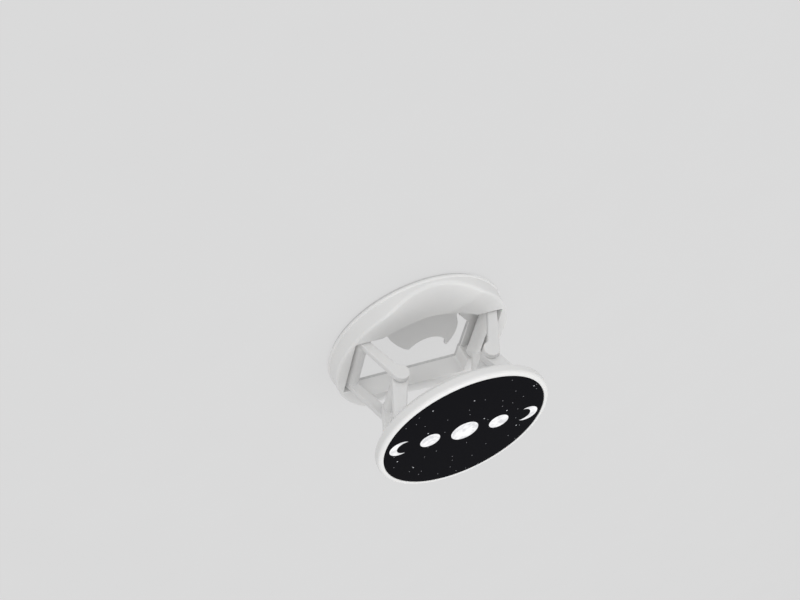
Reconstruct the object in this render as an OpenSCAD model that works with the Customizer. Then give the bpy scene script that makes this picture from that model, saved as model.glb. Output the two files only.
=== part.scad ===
// Folding phone grip: a round adhesive base, two knee-jointed legs and a round top plate.
// Millimetres. Z points from the base to the plate, the hinge axes run along Y.
// The grip is drawn opened; it folds flat when the knees swing inwards.

/* [Base] */
// Outside diameter of the base's lower rim
base_d = 39.2; // [38.6:0.1:44]
// Height of the base's top face above the pad's underside
base_top = 4.8; // [4.6:0.1:5.1]
// Thickness of the adhesive pad
pad_t = 0.6; // [0.3:0.05:0.8]
// Rounding of the base's upper outer edge
base_round = 0.7; // [0.4:0.1:1]
// Lowest height of the rim on the two sides that dip
low_rim = 2.3; // [1.8:0.1:3.2]
// Radius of the hollowed slope that makes each dip
scoop_r = 38; // [32:1:50]
// Half width of the opening beside the hinges
pocket_hw = 8.3; // [8.2:0.05:8.6]
// Half width of the opening in the middle, on the web's side
opening_hw = 11.5; // [10.5:0.1:12]
// Half width of the opening in the middle, on the plain side
opening_far = 12; // [10:0.1:12.5]
// Radius of the web's notch
notch_r = 4.7; // [4.2:0.1:4.9]

/* [Legs] */
// Distance of the hinge axes from the centre
hinge_x = 14.3; // [14.1:0.05:14.5]
// Height of the base hinge axes
base_axis_z = 3.15; // [3.05:0.01:3.2]
// How far the knees stand inside the hinge axes when open
knee_in = 4.2; // [3.4:0.1:4.8]
// Half width of the lower legs
lower_hw = 7.95; // [7.8:0.05:8]
// Width of one lower leg bar along the hinge
lower_bar_w = 1.3; // [1.1:0.05:1.5]
// Radius of the lower legs' hinge barrel
lower_r = 1.55; // [1.4:0.01:1.6]
// Radius of the lower legs' knee eyes
eye_r = 1.75; // [1.7:0.01:2]
// Distance from a lower leg's axis line to the inner edge of its bars, at the knee
bar_in = 0.75; // [0.7:0.05:1.4]
// Gap between a lower leg bar and the upper leg
side_gap = 0.25; // [0.15:0.01:0.3]
// Width of one upper leg bar along the hinge
upper_bar_w = 2.1; // [1.6:0.05:2.4]
// Radius of the upper legs' knee barrel
knee_r = 1.7; // [1.5:0.01:1.85]
// Radius of the upper legs' plate barrel
upper_r = 1.15; // [1.05:0.01:1.2]

/* [Plate] */
// Height of the plate's top face when the grip is open
open_height = 25.2; // [23:0.1:26]
// Outside diameter of the plate
plate_d = 37.4; // [37:0.1:40]
// Thickness of the plate
plate_t = 3.4; // [3.3:0.05:3.5]
// Thickness of the plate at its rim
rim_t = 2.2; // [2:0.05:2.6]
// Rounding of the plate's upper outer edge
plate_round = 0.8; // [0.5:0.05:1]
// Depth of the plate hinge axes below the top face
plate_axis_depth = 2.45; // [2.4:0.01:2.5]
// Diameter of the inset face disc
disc_d = 35; // [34:0.1:35.4]
// Depth of the disc's recess
disc_recess = 0.5; // [0.4:0.01:0.5]

/* [Pins] */
// Radius of the base and knee pins
pin_r = 0.6; // [0.5:0.01:0.65]
// Radius of the plate pins
plate_pin_r = 0.5; // [0.4:0.01:0.55]
// Radial clearance of a pin in the barrel that turns on it
running_gap = 0.05; // [0.02:0.01:0.08]

/* [Hidden] */
$fn = 64;
plate_axis_z = open_height - plate_axis_depth;
knee_z = (base_axis_z + plate_axis_z) / 2;
knee_x = hinge_x - knee_in;
half_rise = (plate_axis_z - base_axis_z) / 2;
leg_len = sqrt(half_rise * half_rise + knee_in * knee_in);
leg_tilt = atan2(knee_in, half_rise);      // lean of the lower legs from the vertical
floor_top = pad_t + 0.4;
upper_hw = lower_hw - lower_bar_w - side_gap;
plate_under = open_height - plate_t;
cavity_top = plate_axis_z + upper_r + 0.1;
slot_x = hinge_x + lower_r + 0.7;

// node list for exporting one sub-part at a time

// round bar along Y, centred at y = 0
module ybar(x, z, r, l) {
    translate([x, l / 2, z]) rotate([90, 0, 0]) cylinder(h = l, r = r);
}

// outline of the opening above the floor: hinge pockets, a bulge on the web's side and a straight far side
module opening_2d() {
    half = 10.6;
    sag = opening_hw - pocket_hw;
    rad = (half * half + sag * sag) / (2 * sag);
    square([2 * slot_x, 2 * pocket_hw], center = true);
    translate([-12.2, -opening_far]) square([24.4, opening_far]);
    intersection() {
        translate([0, opening_hw - rad]) circle(r = rad, $fn = 128);
        translate([-slot_x, pocket_hw - 1]) square([2 * slot_x, 6]);
    }
}

// thin web on the floor, with a round notch, and a corner piece beside each hinge
module web_2d() {
    difference() {
        intersection() {
            translate([11.9, 12.9]) circle(r = 21.5, $fn = 128);
            union() {
                translate([-2, -0.6]) circle(r = 11.7, $fn = 128);
                polygon([[-4, 2], [8.9, 2], [6.4, 13], [-12, 13]]);
            }
        }
        translate([3.6, -6.26]) circle(r = notch_r);
    }
    polygon([[8.9, 13], [9.2, 4.2], [13, -0.4], [13, 13]]);
    polygon([[-10.6, 13], [-10.6, 2.6], [-13, -0.4], [-13, 13]]);
}

// clear area in the floor: the opening without the web and the hinge floors
module floor_clear_2d() {
    difference() {
        intersection() {
            opening_2d();
            square([2 * (hinge_x - 1.9), 40], center = true);
        }
        web_2d();
    }
}

module base() {
    color([0.93, 0.93, 0.92])
    difference() {
        rotate_extrude($fn = 128) base_profile_2d();
        // the top dips to a low rim on two sides
        scoop(11.2);
        rotate([0, 0, 180]) scoop(11.85);
        // opening above the floor
        translate([0, 0, floor_top]) linear_extrude(base_top)
            opening_2d();
        // clear area through the floor
        translate([0, 0, pad_t - 1]) linear_extrude(3)
            floor_clear_2d();
        // press seats of the two hinge pins
        for (s = [-1, 1]) ybar(s * hinge_x, base_axis_z, pin_r, 2 * (pocket_hw + 1.1));
    }
}

// wide shallow cylinder that cuts one dip, starting at distance y from the middle
module scoop(y) {
    fall = atan2(base_top - low_rim, base_d / 2 - 0.3 - y);
    translate([0, y, base_top]) rotate([-fall, 0, 0]) translate([0, -12, scoop_r])
        rotate([-90, 0, 0]) cylinder(h = 30, r = scoop_r, $fn = 160);
}

// half section of the base, drawn from the axis outwards
module base_profile_2d() {
    r = base_d / 2;
    wall = r - 0.3;
    union() {
        // lower lip
        translate([0, pad_t]) square([r - 0.4, 0.8]);
        translate([r - 0.4, pad_t + 0.4]) circle(r = 0.4);
        // body with a rounded upper edge
        translate([0, pad_t]) square([wall, base_top - pad_t - base_round]);
        translate([0, pad_t]) square([wall - base_round, base_top - pad_t]);
        translate([wall - base_round, base_top - base_round]) circle(r = base_round);
    }
}

module adhesive_pad() {
    color([0.6, 0.6, 0.6])
    difference() {
        cylinder(h = pad_t, r = base_d / 2 - 0.7, $fn = 128);
        translate([0, 0, -1]) linear_extrude(3) floor_clear_2d();
    }
}

// bar along the local Z axis, w wide along Y; it reaches a then b to one side and c then d to the other
module taper_bar(a, b, c, d, w) {
    rotate([90, 0, 0]) translate([0, 0, -w / 2]) linear_extrude(w)
        polygon([[-a, 0], [c, 0], [d, leg_len], [-b, leg_len]]);
}

// one lower leg, drawn on the left side
module lower_leg() {
    difference() {
        union() {
            ybar(-hinge_x, base_axis_z, lower_r, 2 * lower_hw);
            for (s = [-1, 1]) translate([0, s * (lower_hw - lower_bar_w / 2), 0]) {
                ybar(-knee_x, knee_z, eye_r, lower_bar_w);
                translate([-hinge_x, 0, base_axis_z]) rotate([0, leg_tilt, 0])
                    taper_bar(lower_r + 0.05, eye_r - 0.1, bar_in - 0.3, bar_in, lower_bar_w);
            }
        }
        ybar(-hinge_x, base_axis_z, pin_r + running_gap, 2 * lower_hw + 2);
        ybar(-knee_x, knee_z, pin_r, 2 * (lower_hw - 0.35));
    }
}

// one upper leg, drawn on the left side
module upper_leg() {
    difference() {
        union() {
            ybar(-knee_x, knee_z, knee_r, 2 * upper_hw);
            ybar(-hinge_x, plate_axis_z, upper_r, 2 * upper_hw);
            for (s = [-1, 1]) translate([0, s * (upper_hw - upper_bar_w / 2), 0])
                translate([-knee_x, 0, knee_z]) rotate([0, -leg_tilt, 0])
                    taper_bar(knee_r - 0.1, upper_r - 0.05, knee_r - 0.1, upper_r - 0.05, upper_bar_w);
        }
        ybar(-knee_x, knee_z, pin_r + running_gap, 2 * upper_hw + 2);
        ybar(-hinge_x, plate_axis_z, plate_pin_r + running_gap, 2 * upper_hw + 2);
    }
}

module lower_leg_left() { color([0.94, 0.94, 0.93]) lower_leg(); }
module lower_leg_right() { color([0.94, 0.94, 0.93]) rotate([0, 0, 180]) lower_leg(); }
module upper_leg_left() { color([0.95, 0.95, 0.94]) upper_leg(); }
module upper_leg_right() { color([0.95, 0.95, 0.94]) rotate([0, 0, 180]) upper_leg(); }

module base_pin_left() { color([0.7, 0.7, 0.72]) ybar(-hinge_x, base_axis_z, pin_r, 2 * (pocket_hw + 1.1)); }
module base_pin_right() { color([0.7, 0.7, 0.72]) ybar(hinge_x, base_axis_z, pin_r, 2 * (pocket_hw + 1.1)); }
module knee_pin_left() { color([0.7, 0.7, 0.72]) ybar(-knee_x, knee_z, pin_r, 2 * (lower_hw - 0.35)); }
module knee_pin_right() { color([0.7, 0.7, 0.72]) ybar(knee_x, knee_z, pin_r, 2 * (lower_hw - 0.35)); }
module plate_pin_left() { color([0.7, 0.7, 0.72]) ybar(-hinge_x, plate_axis_z, plate_pin_r, 2 * (upper_hw + 1.3)); }
module plate_pin_right() { color([0.7, 0.7, 0.72]) ybar(hinge_x, plate_axis_z, plate_pin_r, 2 * (upper_hw + 1.3)); }

// half section of the plate
module plate_profile_2d() {
    r = plate_d / 2;
    rim_z = open_height - rim_t;
    union() {
        polygon([[0, plate_under], [16.9, plate_under], [r - 0.5, rim_z], [r - 0.5, rim_z + 0.5], [0, rim_z + 0.5]]);
        translate([r - 0.5, rim_z + 0.5]) circle(r = 0.5);
        translate([0, rim_z + 0.5]) square([r, rim_t - 0.5 - plate_round]);
        translate([0, rim_z + 0.5]) square([r - plate_round, rim_t - 0.5]);
        translate([r - plate_round, open_height - plate_round]) circle(r = plate_round);
    }
}

module top_plate() {
    lug_y = upper_hw + 0.3;
    color([0.95, 0.95, 0.94])
    difference() {
        rotate_extrude($fn = 128) plate_profile_2d();
        // recess for the face disc
        translate([0, 0, open_height - disc_recess])
            cylinder(h = 2, r = disc_d / 2 + 0.05, $fn = 128);
        // folding recess for the legs
        translate([-12.6, -lower_hw - 0.4, plate_under - 1])
            cube([25.2, 2 * lower_hw + 0.8, cavity_top - plate_under + 1]);
        translate([-hinge_x - upper_r - 0.3, -lug_y, plate_under - 1])
            cube([2 * (hinge_x + upper_r + 0.3), 2 * lug_y, cavity_top - plate_under + 1]);
        // press seats of the two plate pins
        for (s = [-1, 1]) ybar(s * hinge_x, plate_axis_z, plate_pin_r, 2 * (upper_hw + 1.3));
    }
}

module face_disc() {
    color([0.05, 0.05, 0.07])
    translate([0, 0, open_height - disc_recess])
        cylinder(h = disc_recess - 0.05, r = disc_d / 2, $fn = 128);
}

base();
adhesive_pad();
lower_leg_left();
lower_leg_right();
upper_leg_left();
upper_leg_right();
base_pin_left();
base_pin_right();
knee_pin_left();
knee_pin_right();
plate_pin_left();
plate_pin_right();
top_plate();
face_disc();
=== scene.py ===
# Looks of a folding phone grip: white moulded plastic, a dark printed face disc, steel pins.
# All coordinates are in the part's own frame: +Z from the base to the plate, hinge axes along Y.
import math
import random

import bmesh
import bpy
from mathutils import Matrix, Vector


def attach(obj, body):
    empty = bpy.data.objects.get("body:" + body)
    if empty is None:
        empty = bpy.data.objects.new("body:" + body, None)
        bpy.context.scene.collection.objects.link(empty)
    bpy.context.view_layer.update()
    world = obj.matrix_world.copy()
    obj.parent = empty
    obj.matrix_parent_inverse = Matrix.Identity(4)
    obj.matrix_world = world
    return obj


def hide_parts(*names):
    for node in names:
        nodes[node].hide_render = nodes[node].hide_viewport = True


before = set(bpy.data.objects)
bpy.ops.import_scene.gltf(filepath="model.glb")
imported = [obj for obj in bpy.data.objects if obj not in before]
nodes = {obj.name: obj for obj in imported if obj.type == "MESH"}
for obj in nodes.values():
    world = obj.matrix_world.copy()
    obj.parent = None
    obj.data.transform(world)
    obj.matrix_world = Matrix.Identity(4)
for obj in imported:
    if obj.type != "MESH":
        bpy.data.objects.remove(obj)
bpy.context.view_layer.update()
MM = 0.001
random.seed(11)


# ---------------------------------------------------------------- materials
class Mat:
    """A node material with small helpers for procedural patterns."""

    def __init__(self, name):
        self.m = bpy.data.materials.new(name)
        self.m.use_nodes = True
        self.t = self.m.node_tree
        self.t.nodes.clear()
        self.out = self.t.nodes.new("ShaderNodeOutputMaterial")
        self.b = self.t.nodes.new("ShaderNodeBsdfPrincipled")
        self.t.links.new(self.b.outputs[0], self.out.inputs[0])
        self.co = self.t.nodes.new("ShaderNodeTexCoord").outputs["Object"]

    def link(self, a, b):
        self.t.links.new(a, b)

    def noise(self, scale, detail=2.0, rough=0.5, vec=None):
        n = self.t.nodes.new("ShaderNodeTexNoise")
        n.inputs["Scale"].default_value = scale
        n.inputs["Detail"].default_value = detail
        n.inputs["Roughness"].default_value = rough
        self.link(vec or self.co, n.inputs["Vector"])
        return n.outputs["Fac"]

    def voronoi(self, scale, feature="F1", vec=None, dims="3D"):
        n = self.t.nodes.new("ShaderNodeTexVoronoi")
        n.voronoi_dimensions = dims
        n.feature = feature
        n.inputs["Scale"].default_value = scale
        self.link(vec or self.co, n.inputs["Vector"])
        return n

    def math(self, op, a, b=None, clamp=False):
        n = self.t.nodes.new("ShaderNodeMath")
        n.operation = op
        n.use_clamp = clamp
        for i, v in enumerate((a, b)):
            if v is None:
                continue
            if isinstance(v, (int, float)):
                n.inputs[i].default_value = v
            else:
                self.link(v, n.inputs[i])
        return n.outputs[0]

    def xyz(self, v=None):
        n = self.t.nodes.new("ShaderNodeSeparateXYZ")
        self.link(v or self.co, n.inputs[0])
        return n.outputs

    def remap(self, v, a, b, c, d, smooth=False):
        n = self.t.nodes.new("ShaderNodeMapRange")
        n.interpolation_type = "SMOOTHSTEP" if smooth else "LINEAR"
        n.clamp = True
        for i, x in zip((1, 2, 3, 4), (a, b, c, d)):
            n.inputs[i].default_value = x
        self.link(v, n.inputs[0])
        return n.outputs[0]

    def mix(self, fac, a, b):
        n = self.t.nodes.new("ShaderNodeMix")
        n.data_type = "RGBA"
        for i, v in zip((0, 6, 7), (fac, a, b)):
            if isinstance(v, (int, float)):
                n.inputs[i].default_value = v
            elif isinstance(v, tuple):
                n.inputs[i].default_value = (*v, 1.0)
            else:
                self.link(v, n.inputs[i])
        return n.outputs[2]

    def bump(self, height, strength, dist):
        n = self.t.nodes.new("ShaderNodeBump")
        n.inputs["Strength"].default_value = strength
        n.inputs["Distance"].default_value = dist
        self.link(height, n.inputs["Height"])
        self.link(n.outputs[0], self.b.inputs["Normal"])
        return n


def white_plastic(name, base, warm, rough=0.36):
    m = Mat(name)
    big = m.noise(120, 3)
    fine = m.noise(2600, 2)
    m.link(m.mix(m.remap(big, 0.35, 0.65, 0, 1), base, warm), m.b.inputs["Base Color"])
    r = m.math("ADD", m.remap(big, 0.3, 0.7, -0.035, 0.035), m.remap(fine, 0.3, 0.7, rough - 0.04, rough + 0.04))
    m.link(r, m.b.inputs["Roughness"])
    m.b.inputs["IOR"].default_value = 1.48
    m.b.inputs["Subsurface Weight"].default_value = 0.06
    m.b.inputs["Subsurface Radius"].default_value = (0.9, 0.8, 0.7)
    m.b.inputs["Subsurface Scale"].default_value = 0.0006
    m.bump(fine, 0.1, 0.00003)
    return m.m


def steel():
    m = Mat("pin_steel")
    ring = m.noise(3000, 2)
    m.link(m.mix(m.remap(ring, 0.35, 0.65, 0, 1), (0.58, 0.58, 0.6), (0.7, 0.7, 0.71)), m.b.inputs["Base Color"])
    m.b.inputs["Metallic"].default_value = 1.0
    m.link(m.remap(ring, 0.3, 0.7, 0.24, 0.38), m.b.inputs["Roughness"])
    m.bump(ring, 0.1, 0.00002)
    return m.m


def foam():
    m = Mat("pad_foam")
    v = m.voronoi(3200)
    n = m.noise(1500, 3)
    m.link(m.mix(m.remap(n, 0.3, 0.7, 0, 1), (0.56, 0.56, 0.56), (0.66, 0.66, 0.655)), m.b.inputs["Base Color"])
    m.link(m.remap(n, 0.3, 0.7, 0.7, 0.9), m.b.inputs["Roughness"])
    m.bump(v.outputs["Distance"], 0.5, 0.00008)
    return m.m


def face():
    """Near-black print with faint stars and a row of five moon phases along X."""
    m = Mat("face_print")
    x, y, _ = m.xyz()
    grain = m.noise(2500, 2)
    col = m.mix(m.remap(grain, 0.35, 0.65, 0, 1), (0.0032, 0.0032, 0.0046), (0.0052, 0.0052, 0.0072))

    def disc(cx, cy, r, soft=0.045):
        dx = m.math("SUBTRACT", x, cx * MM)
        dy = m.math("SUBTRACT", y, cy * MM)
        d = m.math("SQRT", m.math("ADD", m.math("MULTIPLY", dx, dx), m.math("MULTIPLY", dy, dy)))
        return m.remap(d, (r - soft) * MM, (r + soft) * MM, 1, 0, True)

    # stars: a few faint specks of two sizes
    for scale, keep, lo, hi, tone in ((420, 0.66, 0.018, 0.048, 0.6), (230, 0.74, 0.02, 0.042, 0.95)):
        v = m.voronoi(scale, dims="2D")
        pick = m.math("GREATER_THAN", m.xyz(v.outputs["Color"])[0], keep)
        dot = m.remap(v.outputs["Distance"], lo, hi, 1, 0, True)
        col = m.mix(m.math("MULTIPLY", m.math("MULTIPLY", pick, dot), tone), col, (0.75, 0.76, 0.8))
    # moons
    blotch = m.noise(520, 4, 0.6)
    moon = m.mix(m.remap(blotch, 0.42, 0.62, 0, 1, True), (0.96, 0.96, 0.965), (0.72, 0.72, 0.74))
    full = disc(0, 0, 2.95)
    side = m.math("MAXIMUM", disc(-7.7, 0, 2.15), disc(7.7, 0, 2.15))
    left = m.math("MULTIPLY", disc(-14.2, 0, 2.35), m.math("SUBTRACT", 1.0, disc(-13.0, 0, 1.95)))
    right = m.math("MULTIPLY", disc(14.2, 0, 2.35), m.math("SUBTRACT", 1.0, disc(13.0, 0, 1.95)))
    mask = m.math("MAXIMUM", m.math("MAXIMUM", full, side), m.math("MAXIMUM", left, right))
    col = m.mix(mask, col, moon)
    m.link(col, m.b.inputs["Base Color"])
    m.link(m.math("ADD", m.remap(grain, 0.3, 0.7, 0.5, 0.58), m.math("MULTIPLY", mask, 0.05)), m.b.inputs["Roughness"])
    m.b.inputs["Specular IOR Level"].default_value = 0.02
    m.bump(m.math("ADD", grain, m.math("MULTIPLY", mask, 0.6)), 0.12, 0.00002)
    return m.m


WHITE = white_plastic("white_shell", (0.80, 0.80, 0.795), (0.82, 0.817, 0.81))
LEG = white_plastic("white_leg", (0.79, 0.79, 0.788), (0.82, 0.817, 0.81), 0.4)
STEEL, FOAM, FACE = steel(), foam(), face()
for name, o in nodes.items():
    mat = (STEEL if "pin" in name else FACE if name == "face_disc" else FOAM if name == "adhesive_pad"
           else LEG if "leg" in name else WHITE)
    o.data.materials.clear()
    o.data.materials.append(mat)

# ---------------------------------------------------------------- shapes, in millimetres
HX, BZ, PZ = 14.3, 3.15, 22.75          # hinge axes: x, base height, plate height
KX, KZ = 10.1, (BZ + PZ) / 2             # knee axis
RB, TOP, PAD, FLOOR = 19.6, 4.8, 0.6, 1.0
LHW, LBAR, UHW, UBAR = 7.95, 1.3, 6.4, 2.1
POCKET, SLOT, HALF, NEAR, FAR = 8.3, 16.55, 10.6, 11.5, 12.0
RP, PT, PB = 18.7, 25.2, 21.8           # plate radius, top, underside


def build(name, verts, faces, mat, angle=35.0):
    """A mesh from millimetre coordinates, smooth except at real corners."""
    me = bpy.data.meshes.new(name)
    me.from_pydata([Vector(v) * MM for v in verts], [], faces)
    me.update()
    bm = bmesh.new()
    bm.from_mesh(me)
    bmesh.ops.remove_doubles(bm, verts=bm.verts, dist=2e-7)
    bmesh.ops.recalc_face_normals(bm, faces=bm.faces)
    bm.to_mesh(me)
    bm.free()
    me.shade_smooth()
    me.set_sharp_from_angle(angle=math.radians(angle))
    o = bpy.data.objects.new(name, me)
    bpy.context.scene.collection.objects.link(o)
    me.materials.append(mat)
    return o


def arc(cx, cy, r, a0, a1, n):
    """Points of an arc, angles in degrees."""
    return [(cx + r * math.cos(math.radians(a0 + (a1 - a0) * i / n)),
             cy + r * math.sin(math.radians(a0 + (a1 - a0) * i / n))) for i in range(n + 1)]


def fillet(pts, n=6):
    """Closed outline of (x, y, corner radius), with its corners rounded."""
    out = []
    k = len(pts)
    for i in range(k):
        x, y, r = pts[i]
        if r <= 0:
            out.append((x, y))
            continue
        p = Vector((x, y))
        a = (Vector(pts[i - 1][:2]) - p).normalized()
        b = (Vector(pts[(i + 1) % k][:2]) - p).normalized()
        half = math.acos(max(-1, min(1, a.dot(b)))) / 2
        d = r / math.tan(half)
        c = p + (a + b).normalized() * (r / math.sin(half))
        s, e = p + a * d - c, p + b * d - c
        a0, a1 = math.atan2(s.y, s.x), math.atan2(e.y, e.x)
        while a1 - a0 > math.pi:
            a1 -= 2 * math.pi
        while a1 - a0 < -math.pi:
            a1 += 2 * math.pi
        out += [(c.x + r * math.cos(a0 + (a1 - a0) * j / n), c.y + r * math.sin(a0 + (a1 - a0) * j / n))
                for j in range(n + 1)]
    return out


def resample(pts, step):
    """Closed outline with its long sides cut into pieces."""
    out = []
    for i, p in enumerate(pts):
        q = pts[(i + 1) % len(pts)]
        n = max(1, int(math.ceil(math.hypot(q[0] - p[0], q[1] - p[1]) / step)))
        out += [(p[0] + (q[0] - p[0]) * j / n, p[1] + (q[1] - p[1]) * j / n) for j in range(n)]
    return out


def normals(pts):
    """Outward normals of a closed counterclockwise outline, lengthened at the corners."""
    out = []
    k = len(pts)
    for i in range(k):
        a, p, b = Vector(pts[i - 1]), Vector(pts[i]), Vector(pts[(i + 1) % k])
        e, f = (p - a).normalized(), (b - p).normalized()
        n = Vector((e.y, -e.x)) + Vector((f.y, -f.x))
        n.normalize()
        out.append(n / max(0.5, n.dot(Vector((f.y, -f.x)))))
    return out


def loft(name, rings, mat, close=True, cap=(False, False), angle=35.0):
    """Skins rings of equal length; close joins the last ring to the first."""
    verts, faces = [], []
    k = len(rings[0])
    for r in rings:
        verts += r
    m = len(rings)
    for i in range(m if close else m - 1):
        j = (i + 1) % m
        for a in range(k):
            b = (a + 1) % k
            faces.append((i * k + a, i * k + b, j * k + b, j * k + a))
    if cap[0]:
        faces.append(tuple(range(k)))
    if cap[1]:
        faces.append(tuple((m - 1) * k + a for a in range(k)))
    return build(name, verts, faces, mat, angle)


def prism(name, outline, z0, z1, edge, mat):
    """Flat piece with a softened edge."""
    n = len(outline)
    verts = [(x, y, z0) for x, y in outline] + [(x, y, z1) for x, y in outline]
    faces = [tuple(range(n))[::-1], tuple(range(n, 2 * n))]
    faces += [(i, (i + 1) % n, n + (i + 1) % n, n + i) for i in range(n)]
    o = build(name, verts, faces, mat)
    bev = o.modifiers.new("edge", "BEVEL")
    bev.width = edge * MM
    bev.segments = 3
    bev.limit_method = "ANGLE"
    bev.angle_limit = math.radians(50)
    bev.harden_normals = True
    return o


def quarter(r, n=5):
    """(offset from the side, depth below the top) of a rounded edge, from the side to the top."""
    return [(r * (1 - math.cos(math.pi / 2 * i / n)), r * (1 - math.sin(math.pi / 2 * i / n))) for i in range(n + 1)]


def join(name, objs):
    """One object from several, modifiers applied."""
    dg = bpy.context.evaluated_depsgraph_get()
    bm = bmesh.new()
    for o in objs:
        ev = o.evaluated_get(dg)
        me = ev.to_mesh()
        bm.from_mesh(me)
        ev.to_mesh_clear()
    me = bpy.data.meshes.new(name)
    bm.to_mesh(me)
    bm.free()
    me.materials.append(objs[0].data.materials[0])
    new = bpy.data.objects.new(name, me)
    bpy.context.scene.collection.objects.link(new)
    for o in objs:
        bpy.data.objects.remove(o)
    return new


# ---- base: a body lofted round the outline of its opening
sag = NEAR - POCKET
rad = (HALF * HALF + sag * sag) / (2 * sag)
half_a = math.degrees(math.asin(HALF / rad))
near_arc = arc(0, NEAR - rad, rad, 90 - half_a, 90 + half_a, 28)
opening = [(SLOT, -POCKET, 0.4), (SLOT, POCKET, 0.4)] + [(x, y, 0) for x, y in near_arc] + \
    [(-SLOT, POCKET, 0.4), (-SLOT, -POCKET, 0.4), (-12.2, -POCKET, 0.3), (-12.2, -FAR, 0.5),
     (12.2, -FAR, 0.5), (12.2, -POCKET, 0.3)]
opening = resample(fillet(opening), 0.5)
opening_n = normals(opening)


def soft_min(a, b, k):
    h = max(0.0, min(1.0, 0.5 + 0.5 * (b - a) / k))
    return b * (1 - h) + a * h - k * h * (1 - h)


def base_top_z(x, y):
    """The top is flat in the middle and dips to a low rim on two sides, each dip a tilted cylinder of radius 38."""
    hollow = 38 - math.sqrt(38 * 38 - x * x)
    near = TOP - (y - 11.2) * 0.3086 + hollow * 1.0465
    far = TOP - (-y - 11.85) * 0.3356 + hollow * 1.0548
    # the near dip's edge is crisp on the right and runs out softly to the left
    fade = max(0.0, min(1.0, (5.0 - x) / 10.0)) if y > 0 else 0.0
    return soft_min(TOP, min(near, far), 0.16 + 0.84 * fade * fade * (3 - 2 * fade))


def base_rings():
    edge, top_r, wall = 0.22, 0.6, RB - 0.3
    dirs = [(x / math.hypot(x, y), y / math.hypot(x, y)) for x, y in opening]

    def inner(d, f):
        return [(x + n.x * d, y + n.y * d, f(x + n.x * d, y + n.y * d)) for (x, y), n in zip(opening, opening_n)]

    def outer(r, f):
        return [(r * c, r * s, f(r * c, r * s)) for c, s in dirs]

    rings = [inner(0, lambda x, y: PAD), inner(0, lambda x, y: 2.2)]
    for d, h in quarter(edge):
        rings.append(inner(d, lambda x, y, h=h: base_top_z(x, y) - h))
    a, b = inner(edge, lambda x, y: 0), outer(wall - top_r, lambda x, y: 0)
    for i in range(1, 24):
        t = i / 24
        rings.append([(p[0] + (q[0] - p[0]) * t, p[1] + (q[1] - p[1]) * t,
                       base_top_z(p[0] + (q[0] - p[0]) * t, p[1] + (q[1] - p[1]) * t)) for p, q in zip(a, b)])
    for d, h in quarter(top_r, 7)[::-1]:
        rings.append(outer(wall - d, lambda x, y, h=h: base_top_z(x, y) - h))
    rings.append(outer(wall, lambda x, y: 1.45))
    for ang in (75, 50, 25, 0, -25, -50, -75, -90):
        z = 1.0 + 0.4 * math.sin(math.radians(ang))
        rings.append(outer(RB - 0.4 + 0.4 * math.cos(math.radians(ang)), lambda x, y, z=z: z))
    return rings


def web_outline():
    """Thin web with a round notch: parts of three circles."""
    c1, r1 = (11.9, 12.9), 21.5
    c2, r2 = (-2.0, -0.6), 11.7
    nc, nr = (3.6, -6.26), 4.7

    def meet(a, ra, b, rb):
        d = math.hypot(b[0] - a[0], b[1] - a[1])
        t = (ra * ra - rb * rb + d * d) / (2 * d)
        h = math.sqrt(ra * ra - t * t)
        ux, uy = (b[0] - a[0]) / d, (b[1] - a[1]) / d
        return [(a[0] + ux * t - uy * h * s, a[1] + uy * t + ux * h * s) for s in (-1, 1)]

    def ang(c, p):
        return math.degrees(math.atan2(p[1] - c[1], p[0] - c[0])) % 360

    p1, p2 = min(meet(c1, r1, nc, nr)), max(meet(c2, r2, nc, nr))
    n0, n1 = ang(nc, p1), ang(nc, p2)
    if n1 > n0:
        n1 -= 360
    out = arc(*c1, r1, 187, ang(c1, p1), 16)[:-1] + arc(*nc, nr, n0, n1, 24)[:-1]
    out += arc(*c2, r2, ang(c2, p2) - 360, 12.5, 12)
    out = resample(out + [(8.9, 3.0), (7.2, 10.4), (3.0, 12.4), (-4.0, 12.4)], 0.3)
    for _ in range(3):
        k = len(out)
        out = [(0.5 * out[i][0] + 0.25 * (out[i - 1][0] + out[(i + 1) % k][0]),
                0.5 * out[i][1] + 0.25 * (out[i - 1][1] + out[(i + 1) % k][1])) for i in range(k)]
    return out


shell = loft("base_shell", base_rings(), WHITE)
web = prism("base_web", web_outline(), PAD, FLOOR, 0.09, WHITE)
right_floor = prism("base_floor_right", [(12.4, -8.6), (16.9, -8.6), (16.9, 8.6), (12.4, 10.2), (8.95, 10.8),
                                         (9.2, 4.2), (12.4, 0.33)], PAD, FLOOR, 0.09, WHITE)
left_floor = prism("base_floor_left", [(-12.4, -8.6), (-12.4, 0.36), (-10.6, 2.6), (-10.6, 10.2), (-12.4, 10.2),
                                       (-16.9, 8.6), (-16.9, -8.6)], PAD, FLOOR, 0.09, WHITE)
base = join("base_body", [shell, web, right_floor, left_floor])

# ---- plate: a disc lofted round the outline of its folding recess
LUG, WIDE, LONG = UHW + 0.3, LHW + 0.4, HX + 1.15 + 0.3
recess = [(LONG, -LUG, 0.3), (LONG, LUG, 0.3), (12.6, LUG, 0.2), (12.6, WIDE, 0.4), (-12.6, WIDE, 0.4),
          (-12.6, LUG, 0.2), (-LONG, LUG, 0.3), (-LONG, -LUG, 0.3), (-12.6, -LUG, 0.2), (-12.6, -WIDE, 0.4),
          (12.6, -WIDE, 0.4), (12.6, -LUG, 0.2)]
recess = resample(fillet(recess), 0.55)
recess_n = normals(recess)
CAV, RIM = 24.0, 23.0


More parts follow.
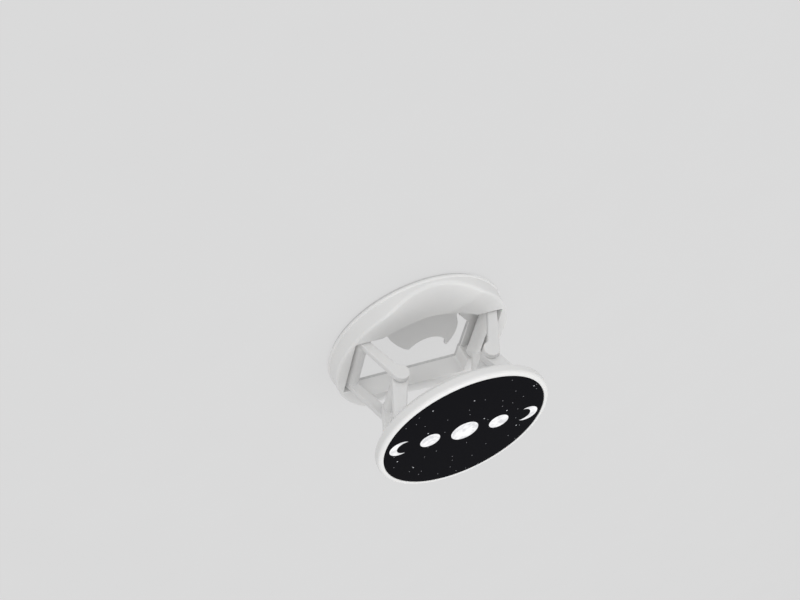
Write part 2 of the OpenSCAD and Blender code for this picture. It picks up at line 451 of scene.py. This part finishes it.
def plate_rings():
    dirs = [(x / math.hypot(x, y), y / math.hypot(x, y)) for x, y in recess]

    def outer(r, z):
        return [(r * c, r * s, z) for c, s in dirs]

    def inner(d, z):
        return [(x + n.x * d, y + n.y * d, z) for (x, y), n in zip(recess, recess_n)]

    rings = [outer(r, PT - 0.5) for r in (0.5, 6, 12, 17.4)]
    rings += [outer(17.55, PT - 0.5), outer(17.55, PT - 0.18)]
    rings += [outer(17.55 + d, PT - h) for d, h in quarter(0.16, 4)]
    rings += [outer(RP - d, PT - h) for d, h in quarter(0.8, 10)[::-1]]
    rings += [outer(RP, PT - 1.2), outer(RP, RIM + 0.5)]
    for ang in (-15, -30, -45, -60, -75):
        rings.append(outer(RP - 0.5 + 0.5 * math.cos(math.radians(ang)), RIM + 0.5 + 0.5 * math.sin(math.radians(ang))))
    rings += [outer(18.0, 22.86), outer(17.3, 22.2), outer(17.05, 21.98), outer(16.85, 21.85), outer(16.6, PB)]
    rings += [inner(d, PB + h) for d, h in quarter(0.2, 4)[::-1]]
    rings += [inner(0, CAV - 0.1), inner(-0.1, CAV)]
    rings += [[(x * t, y * t, CAV) for x, y in recess] for t in (0.6, 0.2)]
    return rings


plate = loft("plate_body", plate_rings(), WHITE, close=False, cap=(True, True))

disc_rings = []
for r, z in [(0.5, 24.7), (17.4, 24.7), (17.47, 24.76), (17.49, 25.04), (17.45, 25.11), (17.36, 25.15), (17.1, 25.15),
             (12, 25.15), (6, 25.15), (0.5, 25.15)]:
    disc_rings.append([(x, y, z) for x, y in arc(0, 0, r, 0, 360, 256)[:-1]])
disc = loft("face_print_disc", disc_rings, FACE, close=False, cap=(True, True))


# ---- legs: side plates shaped like a tangent pair of circles, and barrels with flared ends
def side_plate(name, a, ra, b, rb, y0, y1, edge, mat):
    """Flat bar in the XZ plane round circles a and b, with rounded edges."""
    dx, dz = b[0] - a[0], b[1] - a[1]
    dist, head = math.hypot(dx, dz), math.degrees(math.atan2(dz, dx))
    lean = math.degrees(math.asin((ra - rb) / dist))

    def ring(d, y):
        pts = arc(a[0], a[1], ra - d, head + 90 - lean, head + 270 + lean, 24)
        pts += arc(b[0], b[1], rb - d, head + 270 + lean, head + 450 - lean, 24)
        n = 10
        p, q = pts[24], pts[25]
        low = [(p[0] + (q[0] - p[0]) * i / n, p[1] + (q[1] - p[1]) * i / n) for i in range(1, n)]
        p, q = pts[-1], pts[0]
        high = [(p[0] + (q[0] - p[0]) * i / n, p[1] + (q[1] - p[1]) * i / n) for i in range(1, n)]
        pts = pts[:25] + low + pts[25:] + high
        return [(x, y, z) for x, z in pts]

    rings = [ring(edge + 0.06, y0)]
    for i in range(6):
        t = math.pi / 2 * i / 5
        rings.append(ring(edge * (1 - math.sin(t)), y0 + edge * (1 - math.cos(t))))
    for i in range(5, -1, -1):
        t = math.pi / 2 * i / 5
        rings.append(ring(edge * (1 - math.sin(t)), y1 - edge * (1 - math.cos(t))))
    rings.append(ring(edge + 0.06, y1))
    return loft(name, rings, mat, close=False, cap=(True, True))


def barrel(name, c, r, y0, y1, flare, mat):
    """Round bar along Y that widens a little where it meets the side plates."""
    prof = [(r + flare, y0 - 0.05)]
    for i in range(6):
        t = math.pi / 2 * i / 5
        prof.append((r + flare * (1 - math.sin(t)), y0 + flare * (1 - math.cos(t))))
    n = 6
    prof += [(r, y0 + flare + (y1 - y0 - 2 * flare) * i / n) for i in range(1, n)]
    for i in range(5, -1, -1):
        t = math.pi / 2 * i / 5
        prof.append((r + flare * (1 - math.sin(t)), y1 - flare * (1 - math.cos(t))))
    prof.append((r + flare, y1 + 0.05))
    rings = [[(x, y, z) for x, z in arc(c[0], c[1], rr, 0, 360, 64)[:-1]] for rr, y in prof]
    return loft(name, rings, mat, close=False, cap=(True, True))


def leg_outline(sx):
    """Outline of a lower leg's bar in the XZ plane: a foot, a slim bar that keeps to the outer side, and a knee eye."""
    a, b = Vector((sx * HX, BZ)), Vector((sx * KX, KZ))
    u = (b - a).normalized()
    n = Vector((u.y, -u.x)) if u.y * sx > 0 else Vector((-u.y, u.x))
    length, ra, rb = (b - a).length, 1.55, 1.75
    lean = math.degrees(math.asin((rb - ra) / length))
    foot, eye = math.degrees(math.asin(0.45 / ra)), math.degrees(math.asin(0.75 / rb))
    pts = arc(0, 0, ra, 90 + lean, 360 - foot, 30) + arc(length, 0, rb, 180 + eye, 450 + lean, 36)
    pts = resample(pts, 0.2)
    for _ in range(6):
        k = len(pts)
        pts = [(0.5 * pts[i][0] + 0.25 * (pts[i - 1][0] + pts[(i + 1) % k][0]),
                0.5 * pts[i][1] + 0.25 * (pts[i - 1][1] + pts[(i + 1) % k][1])) for i in range(k)]
    return pts, lambda p: a + u * p[0] + n * p[1]


def bar_plate(name, sx, y0, y1, edge, mat):
    """A lower leg's bar with rounded edges, y0 to y1 wide along the hinge."""
    pts, place = leg_outline(sx)
    out = normals(pts)

    def ring(d, y):
        flat = [place((p[0] - n.x * d, p[1] - n.y * d)) for p, n in zip(pts, out)]
        return [(v.x, y, v.y) for v in flat]

    rings = [ring(edge + 0.06, y0)]
    for i in range(6):
        t = math.pi / 2 * i / 5
        rings.append(ring(edge * (1 - math.sin(t)), y0 + edge * (1 - math.cos(t))))
    for i in range(5, -1, -1):
        t = math.pi / 2 * i / 5
        rings.append(ring(edge * (1 - math.sin(t)), y1 - edge * (1 - math.cos(t))))
    rings.append(ring(edge + 0.06, y1))
    return loft(name, rings, mat, close=False, cap=(True, True))


def lower_leg(name, sx):
    a = (sx * HX, BZ)
    parts = [bar_plate("p", sx, -LHW, -(LHW - LBAR), 0.24, LEG), bar_plate("p", sx, LHW - LBAR, LHW, 0.24, LEG)]
    parts.append(barrel("b", a, 1.42, -(LHW - LBAR), LHW - LBAR, 0.1, LEG))
    return join(name, parts)


def upper_leg(name, sx):
    a, b = (sx * HX, PZ), (sx * KX, KZ)
    parts = [side_plate("p", a, 1.15, b, 1.7, s * UHW if s < 0 else UHW - UBAR, s * (UHW - UBAR) if s < 0 else UHW,
                        0.42, LEG) for s in (-1, 1)]
    parts.append(barrel("b", b, 1.5, -(UHW - UBAR), UHW - UBAR, 0.16, LEG))
    parts.append(barrel("c", a, 1.02, -(UHW - UBAR), UHW - UBAR, 0.1, LEG))
    return join(name, parts)


for obj, node, body, slot in ((base, "base", "base", "white_shell"), (plate, "top_plate", "plate", "white_shell"),
                              (disc, "face_disc", "plate", "face")):
    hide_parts(node)
    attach(obj, body)
for side, sx in (("left", -1), ("right", 1)):
    for part, make in (("lower_leg", lower_leg), ("upper_leg", upper_leg)):
        node = part + "_" + side
        o = make(node + "_body", sx)
        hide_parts(node)
        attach(o, node)

# ---------------------------------------------------------------- stage
bpy.ops.mesh.primitive_plane_add(size=8)
floor = bpy.context.object
floor.name = "floor"
fm = Mat("self_lit_floor")
fn = fm.noise(60, 4)
# Painted light: the floor glows, so it stays pale where the grip shades it, under the base and inside the opening. Its
# reflecting colour is kept dark to balance the glow.
fm.link(fm.mix(fm.remap(fn, 0.3, 0.7, 0, 1), (0.085, 0.085, 0.086), (0.090, 0.090, 0.091)), fm.b.inputs["Base Color"])
fm.b.inputs["Emission Color"].default_value = (1, 1, 1, 1)
fm.b.inputs["Emission Strength"].default_value = 0.60
fm.b.inputs["Roughness"].default_value = 0.8
fm.b.inputs["Specular IOR Level"].default_value = 0.2
floor.data.materials.append(fm.m)

# ---------------------------------------------------------------- camera and light
AX = Vector((0.900332, 0.175756, 0.398136))
AY = Vector((0.216411, 0.612901, -0.759946))
AZ = Vector((-0.377583, 0.770365, 0.513779))
cam = bpy.data.cameras.new("camera")
cam.lens = 67.5
cam.sensor_width = 36
cam.clip_start = 0.01
cam_o = bpy.data.objects.new("camera", cam)
bpy.context.scene.collection.objects.link(cam_o)
rot = Matrix((AX, AY, AZ)).transposed().to_4x4()
cam_o.matrix_world = Matrix.Translation(Vector((-118.6272, 243.512, 153.5535)) * MM) @ rot
bpy.context.scene.camera = cam_o


def area(name, pos, target, size, power, color=(1, 1, 1)):
    l = bpy.data.lights.new(name, "AREA")
    l.shape = "DISK"
    l.size = size
    l.energy = power
    l.color = color
    o = bpy.data.objects.new(name, l)
    bpy.context.scene.collection.objects.link(o)
    o.location = pos
    o.rotation_euler = (Vector(target) - Vector(pos)).to_track_quat("-Z", "Y").to_euler()
    return o


area("key", (0.30, 0.58, 0.11), (0, 0, 0.012), 0.20, 0.34)
area("top", (0.06, 0.0, 0.65), (0, 0, 0.012), 0.44, 1.9)
area("fill", (-0.33, 0.52, 0.20), (0, 0, 0.012), 0.24, 0.6)
w = bpy.data.worlds.new("world")
w.use_nodes = True
w.node_tree.nodes["Background"].inputs[0].default_value = (1, 1, 1, 1)
w.node_tree.nodes["Background"].inputs[1].default_value = 0.57
bpy.context.scene.world = w
bpy.context.scene.view_settings.view_transform = "Standard"
